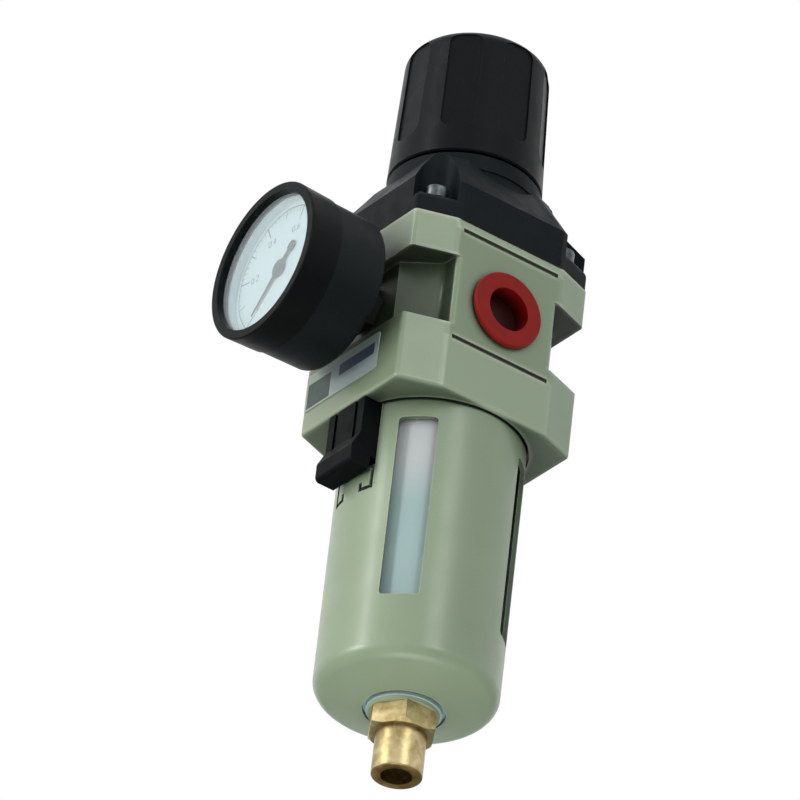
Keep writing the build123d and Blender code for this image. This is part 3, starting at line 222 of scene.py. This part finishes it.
def enamel(name, orange_peel, cast):
    """Grey-green enamel: soft drifts of tone, orange peel, rubbed edges, a little dust.

    Both get painted shade in pockets and corners. The cast body has painted light on the strips
    above and below its slots, painted shade between them, in its waist and underneath, the
    darkest painted shadow under its upper flange and painted highlights along its edges.
    """
    s = Shader(name)
    base = s.mix(s.noise(22, 2.0), shade(PAINT, -7), shade(PAINT, 7))
    speck = s.remap(s.noise(0.35, 2.0), 0.62, 0.75, 0.0, 0.25)
    base = s.mix(speck, base, linear(190, 200, 184))
    if cast:
        port_level = span("outlet_plug")[2].z
        z, across = s.axis("Z"), s.math("ABSOLUTE", s.axis("X"))
        band = s.inside(z, port_level + PORT_BAND[0], port_level + PORT_BAND[1], 0.0003)
        on_face = s.remap(across, *PORT_FACE, 0.0, 1.0)
        # Painted light and shade: the strips above and below the slots are lighter and the band
        # between them darker, from how light falls on them
        lit_strips = s.math("MULTIPLY", s.math("SUBTRACT", 1.0, band), on_face)
        base = s.mix(lit_strips, base, shade(PAINT, 16))
        base = s.mix(s.math("MULTIPLY", band, on_face), base, shade(PAINT, -8))
        # Painted shade in the waist between the flanges, and painted shade on the faces that turn
        # downwards
        waist = s.inside(z, port_level + WAIST[0], port_level + WAIST[1], 0.0008)
        waist = s.math("MULTIPLY", waist, s.remap(across, *WAIST_SIDE, 0.8, 0.0))
        base = s.mix(waist, base, linear(50, 62, 42))
        # Painted shade on faces that turn downwards
        geometry = s.node("ShaderNodeNewGeometry")
        facing = s.node("ShaderNodeSeparateXYZ")
        s.link(geometry.outputs["Normal"], facing.inputs[0])
        down = s.remap(facing.outputs["Z"], -0.9, -0.6, 0.75, 0.0)
        base = s.mix(down, base, linear(80, 94, 72))
        # Painted shadow: the undersides above the port axis, under the upper flange, get the
        # darkest tone
        above = s.remap(z, port_level, port_level + OVERHANG, 0.0, 1.2)
        base = s.mix(s.math("MULTIPLY", down, above), base, linear(30, 34, 22))
        # Painted highlights along the body's rounded edges
        edge_highlight = s.math("MULTIPLY", s.edge(2.2), s.math("SUBTRACT", 0.9, waist, clamp=True))
        base = s.mix(edge_highlight, base, linear(208, 216, 194))
    # Painted shade in pockets and corners, from the ambient occlusion node
    pocket_shade = s.remap(s.shelter(18), 0.4, 0.9, 0.8, 0.0)
    base = s.mix(pocket_shade, base, linear(52, 62, 46))
    rubbed = s.math("MULTIPLY", s.edge(0.5), s.remap(s.noise(3.0), 0.35, 0.6, 0.25, 0.7))
    base = s.mix(rubbed, base, linear(206, 212, 196))
    s.colour(base)
    s.rough(s.remap(s.noise(6, 4.0), 0.3, 0.7, 0.34, 0.46))
    s.bump(s.noise(0.9, 2.0), orange_peel)
    if cast:
        s.bump(s.noise(4.5, 3.0), 0.05)
    s.bsdf.inputs["Coat Weight"].default_value = 0.35
    s.bsdf.inputs["Coat Roughness"].default_value = 0.25
    return s.material


def moulded(name, tone, grain_mm, grain_depth, low, high, specular):
    """Black moulded plastic with a fine spark-eroded grain, flow marks and scuffed edges."""
    s = Shader(name, specular=specular)
    base = s.mix(s.noise(14, 3.0, warp=0.6), shade(tone), shade(tone, 9))
    scuff = s.math("MULTIPLY", s.edge(0.35), s.remap(s.noise(2.0), 0.4, 0.65, 0.1, 0.6))
    base = s.mix(scuff, base, shade(tone, 48))
    dust = s.remap(s.noise(0.5, 4.0), 0.66, 0.8, 0.0, 0.2)
    s.colour(s.mix(dust, base, linear(120, 124, 124)))
    s.rough(s.remap(s.noise(5, 4.0), 0.3, 0.7, low, high))
    s.bump(s.cells(grain_mm), grain_depth)
    return s.material


def red_cap(name):
    """Red moulded cap, a little translucent, pale on its edges, with painted shade deep in its
    cup.
    """
    s = Shader(name, specular=0.2)
    base = s.mix(s.noise(5, 3.0, warp=0.4), linear(134, 16, 10), linear(164, 26, 18))
    base = s.mix(s.math("MULTIPLY", s.edge(0.4), 0.35), base, linear(206, 74, 62))
    # Painted shade: darker deep in the cup and near its axis
    depth = s.remap(s.math("ABSOLUTE", s.axis("X")), *CUP_DEPTH, 1.0, 0.0)
    middle = span("outlet_plug")[2]
    offset = s.node("ShaderNodeVectorMath", operation="SUBTRACT")
    s.link(s.coords, offset.inputs[0])
    offset.inputs[1].default_value = (0, middle.y, middle.z)
    flat = s.node("ShaderNodeVectorMath", operation="MULTIPLY")
    s.link(offset.outputs[0], flat.inputs[0])
    flat.inputs[1].default_value = (0, 1, 1)
    length = s.node("ShaderNodeVectorMath", operation="LENGTH")
    s.link(flat.outputs[0], length.inputs[0])
    within = s.remap(length.outputs["Value"], *CUP_RADIUS, 1.0, 0.0)
    s.colour(s.mix(s.math("MULTIPLY", depth, within), base, linear(44, 8, 7)))
    s.rough(s.remap(s.noise(1.5, 3.0), 0.3, 0.7, 0.34, 0.5))
    s.bump(s.noise(0.5, 2.0), 0.02)
    s.bsdf.inputs["Subsurface Weight"].default_value = 0.12
    s.bsdf.inputs["Subsurface Radius"].default_value = (0.002, 0.0006, 0.0005)
    return s.material


def white_moulding(name, tone, pore_mm, pore_depth, roughness):
    """White plastic or foam with pores that hold a little grey."""
    s = Shader(name, roughness=roughness, specular=0.35)
    base = s.mix(s.noise(7, 3.0), shade(tone), shade(tone, -14))
    pores = s.cells(pore_mm)
    s.colour(s.mix(s.remap(pores, 0.0, 0.35, 0.25, 0.0), base, linear(168, 172, 176)))
    s.bump(pores, pore_depth)
    return s.material


def clear(name, tint, alpha, roughness, haze_depth, specular, clearing=None):
    """Thin clear moulding: mostly see-through, denser where it turns away.

    Between the two levels in clearing it goes from a duller tint to the full one.
    """
    s = Shader(name, roughness=roughness, specular=specular)
    level = s.remap(s.axis("Z"), *clearing, 0.0, 1.0) if clearing else 1.0
    cloudy = s.mix(s.noise(9, 2.0), shade(tint), shade(tint, -8))
    s.colour(s.mix(level, linear(206, 234, 233), cloudy))
    facing = s.node("ShaderNodeLayerWeight")
    facing.inputs["Blend"].default_value = 0.35
    haze = s.math("MULTIPLY", s.noise(4, 4.0), haze_depth)
    dense = s.remap(facing.outputs["Facing"], 0.0, 1.0, alpha, min(1.0, alpha + 0.5))
    s.link(s.math("ADD", dense, haze, clamp=True), s.bsdf.inputs["Alpha"])
    s.bump(s.noise(6, 2.0), 0.02)
    return s.material


def turned_metal(name, dark, light, low, high, pitch_mm, groove_mm, axis="Z"):
    """Machined metal: fine turning lines round its axis, smears and tarnish."""
    s = Shader(name, metallic=1.0)
    tarnish = s.noise(3.5, 4.0, warp=0.5)
    s.colour(s.mix(s.remap(tarnish, 0.3, 0.7, 0.0, 1.0), shade(dark), shade(light)))
    smear = s.noise(1.2, 3.0, vector=s.scaled(1, 1, 6) if axis == "Z" else s.scaled(1, 6, 1))
    s.rough(s.remap(smear, 0.3, 0.7, low, high))
    wave = s.node("ShaderNodeTexWave", wave_type="BANDS", bands_direction=axis)
    wave.inputs["Scale"].default_value = 1.0 / (pitch_mm * MM) / BANDS_PER_METRE
    wave.inputs["Distortion"].default_value = 0.6
    s.link(s.coords, wave.inputs["Vector"])
    s.bump(wave.outputs["Fac"], groove_mm)
    return s.material


def soft_black(name, tone, roughness):
    """Rubber or dull lacquer with a fine, uneven skin."""
    s = Shader(name, roughness=roughness, specular=0.3)
    s.colour(s.mix(s.noise(3, 4.0), shade(tone), shade(tone, 12)))
    s.bump(s.noise(0.3, 3.0), 0.015)
    return s.material


def dial_face(name):
    """White enamel with a faint mottled print film."""
    s = Shader(name, specular=0.3)
    base = s.mix(s.noise(5, 4.0), linear(212, 232, 238), linear(200, 222, 229))
    spots = s.remap(s.noise(0.6, 3.0), 0.66, 0.78, 0.0, 0.18)
    s.colour(s.mix(spots, base, linear(150, 166, 172)))
    s.rough(s.remap(s.noise(2, 3.0), 0.3, 0.7, 0.45, 0.6))
    s.bump(s.noise(0.4, 2.0), 0.006)
    return s.material


def foil_label(name):
    """Bare foil sticker: a pale ground, a framed dark field and a blue field, no words."""
    low, _, middle = span("label_plate")
    s = Shader(name, specular=0.4)
    x, z = s.axis("X"), s.axis("Z")
    # The printed tones are set darker than the sticker's own, as painted shadow of the gauge over
    # it
    ground = s.mix(s.noise(6, 3.0), linear(176, 190, 180), linear(160, 176, 164))

    def field(left, right, bottom, top):
        """Printed rectangle, in mm from the sticker's middle and from its lower edge."""
        soft = 0.15 * MM
        across = s.inside(x, middle.x + left * MM, middle.x + right * MM, soft)
        upward = s.inside(z, low.z + bottom * MM, low.z + top * MM, soft)
        return s.math("MULTIPLY", across, upward)

    base = s.mix(field(-15.6, -5.2, 0.6, 8.4), ground, linear(58, 74, 66))
    base = s.mix(field(-14.9, -5.9, 1.4, 7.6), base, linear(62, 80, 74))
    base = s.mix(field(-4.4, 15.6, 0.6, 10.8), base, linear(164, 180, 180))
    base = s.mix(field(-1.4, 14.6, 5.2, 8.8), base, linear(58, 76, 104))
    s.colour(base)
    s.rough(s.remap(s.noise(1.5, 3.0), 0.3, 0.7, 0.36, 0.5))
    s.bump(s.noise(1.2, 2.0), 0.01)
    return s.material


def ink(name, tone):
    """Flat printed or stoved colour, slightly uneven."""
    s = Shader(name, roughness=0.6, specular=0.2)
    s.colour(s.mix(s.noise(0.4, 3.0), shade(tone), shade(tone, 22)))
    return s.material


# The bowl is duller below the filter: the change runs from the baffle's foot to above its top
baffle_low, baffle_high, _ = span("baffle")
SUMP = (baffle_low.z, baffle_high.z + 4 * MM)

finishes = {
    "body_paint": enamel("body_enamel", 0.012, True),
    "guard_paint": enamel("guard_enamel", 0.006, False),
    "black_plastic": moulded("black_moulding", (16, 21, 24), 0.35, 0.02, 0.42, 0.58, 0.07),
    "red_plastic": red_cap("red_cap"),
    "white_plastic": white_moulding("white_acetal", (226, 228, 228), 1.8, 0.01, 0.45),
    "filter_white": white_moulding("filter_foam", (250, 252, 253), 0.28, 0.03, 0.8),
    "clear_plastic": clear("clear_bowl", (248, 253, 255), 0.52, 0.2, 0.04, 0.5, SUMP),
    "window_glass": clear("gauge_glass", (236, 246, 248), 0.01, 0.06, 0.01, 0.3),
    "brass": turned_metal(
        "turned_brass", (150, 130, 86), (204, 188, 144), 0.3, 0.48, 0.22, 0.006
    ),
    "bronze": turned_metal(
        "bronze_tube", (150, 98, 54), (206, 150, 96), 0.25, 0.4, 0.5, 0.002, "Y"
    ),
    "zinc_steel": turned_metal(
        "zinc_plate", (150, 154, 158), (206, 208, 212), 0.25, 0.45, 0.3, 0.004
    ),
    "spring_steel": turned_metal(
        "spring_wire", (96, 98, 102), (160, 162, 168), 0.3, 0.5, 0.2, 0.003
    ),
    "rubber": soft_black("nitrile", (18, 19, 20), 0.7),
    "grey_rubber": soft_black("grey_gasket", (158, 166, 134), 0.65),
    "dial_white": dial_face("dial_enamel"),
    "black_enamel": ink("needle_enamel", (14, 18, 26)),
    "label": foil_label("bare_label"),
}
# Pieces that look different from others in the same material slot
own_finish = {
    "knob": moulded("knob_moulding", (6, 10, 12), 0.5, 0.012, 0.34, 0.46, 0.09),
    "gauge_case": moulded("case_lacquer", (12, 18, 19), 0.9, 0.01, 0.42, 0.55, 0.12),
    "gauge_bezel": moulded("bezel_lacquer", (7, 10, 11), 0.9, 0.008, 0.36, 0.48, 0.08),
    "lock_button": moulded("lock_moulding", (6, 11, 11), 0.4, 0.02, 0.42, 0.55, 0.05),
    "window_seal": white_moulding("spacer_ring", (240, 250, 252), 2.2, 0.004, 0.45),
    "gauge_socket": soft_black("socket_lacquer", (14, 16, 16), 0.45),
    "bonnet_screws": turned_metal(
        "black_screws", (52, 56, 58), (112, 118, 120), 0.3, 0.5, 0.3, 0.004
    ),
}
for row in frame["record"]["subparts"]:
    node = row["node"]
    finish = own_finish.get(node) or finishes[row["material_slot"]]
    target = frame["nodes"][node]
    target.data.materials.clear()
    target.data.materials.append(finish)


# ---------------------------------------------------------------- dial print
dial_low, _, dial_middle = span("gauge_dial")
PRINT_LEVEL = dial_low.y - 0.03 * MM  # just in front of the dial's face
ZERO_ANGLE, SWEEP = 225.0, 270.0
DIVISIONS, NUMBERED_EACH, HALFWAY_EACH = 50, 10, 5
# Inner radius, outer radius and width of the bars, in mm
NUMBERED_BAR = (14.6, 18.6, 0.5)
HALFWAY_BAR = (15.8, 18.6, 0.36)
SHORT_BAR = (17.2, 18.6, 0.2)
RING_INNER, RING_OUTER, RING_STEPS = 18.5, 18.8, 90
NUMBER_RADIUS, NUMBER_SIZE = 12.0, 3.1
NUMBER_INTERVALS, NUMBER_STEP = 5, 0.2


def on_dial(radius_mm, degrees):
    """Point of the print. Degrees count from +X, anticlockwise as seen from the front."""
    turn = math.radians(degrees)
    return Vector(
        (
            dial_middle.x + radius_mm * MM * math.cos(turn),
            PRINT_LEVEL,
            dial_middle.z + radius_mm * MM * math.sin(turn),
        )
    )


def add_mesh(name, points, faces, material):
    mesh = bpy.data.meshes.new(name)
    mesh.from_pydata([tuple(p) for p in points], [], faces)
    mesh.update()
    made = bpy.data.objects.new(name, mesh)
    made.data.materials.append(material)
    scene.collection.objects.link(made)
    return made


def add_quad(points, faces, corners):
    """Four-sided face from (radius in mm, degrees) corners."""
    first = len(points)
    points.extend(on_dial(radius, degrees) for radius, degrees in corners)
    faces.append((first, first + 1, first + 2, first + 3))


def add_bar(points, faces, degrees, inner, outer, width):
    """Thin radial bar."""
    half = math.degrees(width / 2 / outer)
    start, end = degrees - half, degrees + half
    add_quad(points, faces, ((inner, start), (outer, start), (outer, end), (inner, end)))


def scale_angle(part):
    """Angle on the dial, clockwise from its zero, for a part of the whole sweep."""
    return ZERO_ANGLE - SWEEP * part


points, faces = [], []
for step in range(DIVISIONS + 1):
    if step % NUMBERED_EACH == 0:
        bar = NUMBERED_BAR
    elif step % HALFWAY_EACH == 0:
        bar = HALFWAY_BAR
    else:
        bar = SHORT_BAR
    add_bar(points, faces, scale_angle(step / DIVISIONS), *bar)
for step in range(RING_STEPS):
    start, end = scale_angle(step / RING_STEPS), scale_angle((step + 1) / RING_STEPS)
    add_quad(
        points,
        faces,
        ((RING_INNER, start), (RING_OUTER, start), (RING_OUTER, end), (RING_INNER, end)),
    )
print_ink = ink("dial_ink", (104, 122, 136))
dial_scale = add_mesh("dial_scale", points, faces, print_ink)
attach(dial_scale, "regulator")

for step in range(NUMBER_INTERVALS + 1):
    text = bpy.data.curves.new(f"dial_number_{step}", "FONT")
    text.body = "0" if step == 0 else f"{step * NUMBER_STEP:.1f}"
    text.size = NUMBER_SIZE * MM
    text.align_x = "CENTER"
    text.align_y = "CENTER"
    number = bpy.data.objects.new(f"dial_number_{step}", text)
    number.data.materials.append(print_ink)
    number.location = on_dial(NUMBER_RADIUS, scale_angle(step / NUMBER_INTERVALS))
    number.rotation_euler = (math.pi / 2, 0, 0)
    scene.collection.objects.link(number)
    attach(number, "regulator")


# ---------------------------------------------------------------- stage, light and camera
def larger(tree, first, second):
    """The larger of two outputs."""
    made = tree.nodes.new("ShaderNodeMath")
    made.operation = "MAXIMUM"
    tree.links.new(first, made.inputs[0])
    tree.links.new(second, made.inputs[1])
    return made.outputs[0]


def mixed_shader(tree, factor, first, second):
    made = tree.nodes.new("ShaderNodeMixShader")
    for index, output in enumerate((factor, first, second)):
        tree.links.new(output, made.inputs[index])
    return made.outputs[0]


world = bpy.data.worlds.new("studio")
scene.world = world
world.use_nodes = True
tree = world.node_tree
tree.nodes.clear()
ambient = tree.nodes.new("ShaderNodeBackground")
ambient.inputs["Color"].default_value = (0.93, 0.97, 1.0, 1.0)
ambient.inputs["Strength"].default_value = 0.2
white = tree.nodes.new("ShaderNodeBackground")
white.inputs["Color"].default_value = (1.0, 1.0, 1.0, 1.0)
white.inputs["Strength"].default_value = 1.0
# The camera, gloss and glass see plain white; everything else gets the soft ambient light
path = tree.nodes.new("ShaderNodeLightPath").outputs
sees_white = larger(tree, path["Is Camera Ray"], path["Is Glossy Ray"])
sees_white = larger(tree, sees_white, path["Is Transmission Ray"])
backdrop = mixed_shader(tree, sees_white, ambient.outputs[0], white.outputs[0])
world_out = tree.nodes.new("ShaderNodeOutputWorld")
tree.links.new(backdrop, world_out.inputs["Surface"])

# Pale floor under the drain fitting. Its underside lets everything through, and so does all of it
# for the lamps under it, so that the part can be looked at and lit from below.
low, high = (Vector(corner) for corner in cad_box)
FLOOR_LEVEL = low.z - 0.6 * MM
FLOOR_HALF = 1.5
floor_material = bpy.data.materials.new("pale_floor")
floor_corners = [(-1, -1), (1, -1), (1, 1), (-1, 1)]
floor = add_mesh(
    "floor",
    [(x * FLOOR_HALF, y * FLOOR_HALF, FLOOR_LEVEL) for x, y in floor_corners],
    [(0, 1, 2, 3)],
    floor_material,
)
floor_material.use_nodes = True
tree = floor_material.node_tree
tree.nodes.clear()
paper = tree.nodes.new("ShaderNodeBsdfDiffuse")
paper.inputs["Color"].default_value = linear(244, 244, 244)
through = tree.nodes.new("ShaderNodeBsdfTransparent")
underside = tree.nodes.new("ShaderNodeNewGeometry").outputs["Backfacing"]
to_lamp = tree.nodes.new("ShaderNodeLightPath").outputs["Is Shadow Ray"]
lets_through = larger(tree, underside, to_lamp)
sides = mixed_shader(tree, lets_through, paper.outputs[0], through.outputs[0])
floor_out = tree.nodes.new("ShaderNodeOutputMaterial")
tree.links.new(sides, floor_out.inputs["Surface"])


def direction(azimuth, elevation):
    """Unit vector. Azimuth 0 is -Y, in front of the gauge, and 90 is +X, the outlet's side."""
    a, e = math.radians(azimuth), math.radians(elevation)
    return Vector((math.sin(a) * math.cos(e), -math.cos(a) * math.cos(e), math.sin(e)))


MIDDLE = Vector((0.0, 0.0, (low.z + high.z) / 2))


def softbox(name, azimuth, elevation, distance, size, power, colour=(1, 1, 1)):
    """Rectangular lamp that faces the part's middle. Size in metres, power in watts."""
    lamp = bpy.data.lights.new(name, "AREA")
    lamp.shape = "RECTANGLE"
    lamp.size, lamp.size_y = size
    lamp.energy = power
    lamp.color = colour
    made = bpy.data.objects.new(name, lamp)
    made.location = MIDDLE + direction(azimuth, elevation) * distance
    made.rotation_euler = direction(azimuth, elevation).to_track_quat("Z", "Y").to_euler()
    made.visible_camera = False
    scene.collection.objects.link(made)


softbox("key", -8, 2, 1.2, (0.3, 0.5), 6.2, (1.0, 1.0, 0.96))
softbox("glint", -6, 32, 1.2, (0.1, 0.6), 2.6, (1.0, 1.0, 0.98))
softbox("side", 82, 16, 1.2, (0.35, 0.7), 3.5, (0.96, 1.0, 0.97))
softbox("under", 60, -80, 0.3, (0.12, 0.12), 0.18)
softbox("top", 60, 75, 1.6, (0.7, 0.7), 1.2)

CAMERA_AZIMUTH, CAMERA_ELEVATION, CAMERA_ROLL = 57.02, -32.09, 6.77
CAMERA_TARGET = Vector((-0.0197, 0.0, 0.12666))
CAMERA_DISTANCE = 2.44924
camera_data = bpy.data.cameras.new("camera")
camera_data.lens = 405.0
camera_data.sensor_width = 36.0
camera = bpy.data.objects.new("camera", camera_data)
scene.collection.objects.link(camera)
back = direction(CAMERA_AZIMUTH, CAMERA_ELEVATION)
right = (-back).cross(Vector((0, 0, 1))).normalized()
up = right.cross(-back)
roll = math.radians(CAMERA_ROLL)
across = math.cos(roll) * right + math.sin(roll) * up
upright = -math.sin(roll) * right + math.cos(roll) * up
place = CAMERA_TARGET + back * CAMERA_DISTANCE
camera.matrix_world = Matrix(
    (
        (across.x, upright.x, back.x, place.x),
        (across.y, upright.y, back.y, place.y),
        (across.z, upright.z, back.z, place.z),
        (0, 0, 0, 1),
    )
)
scene.camera = camera
scene.view_settings.view_transform = "Standard"
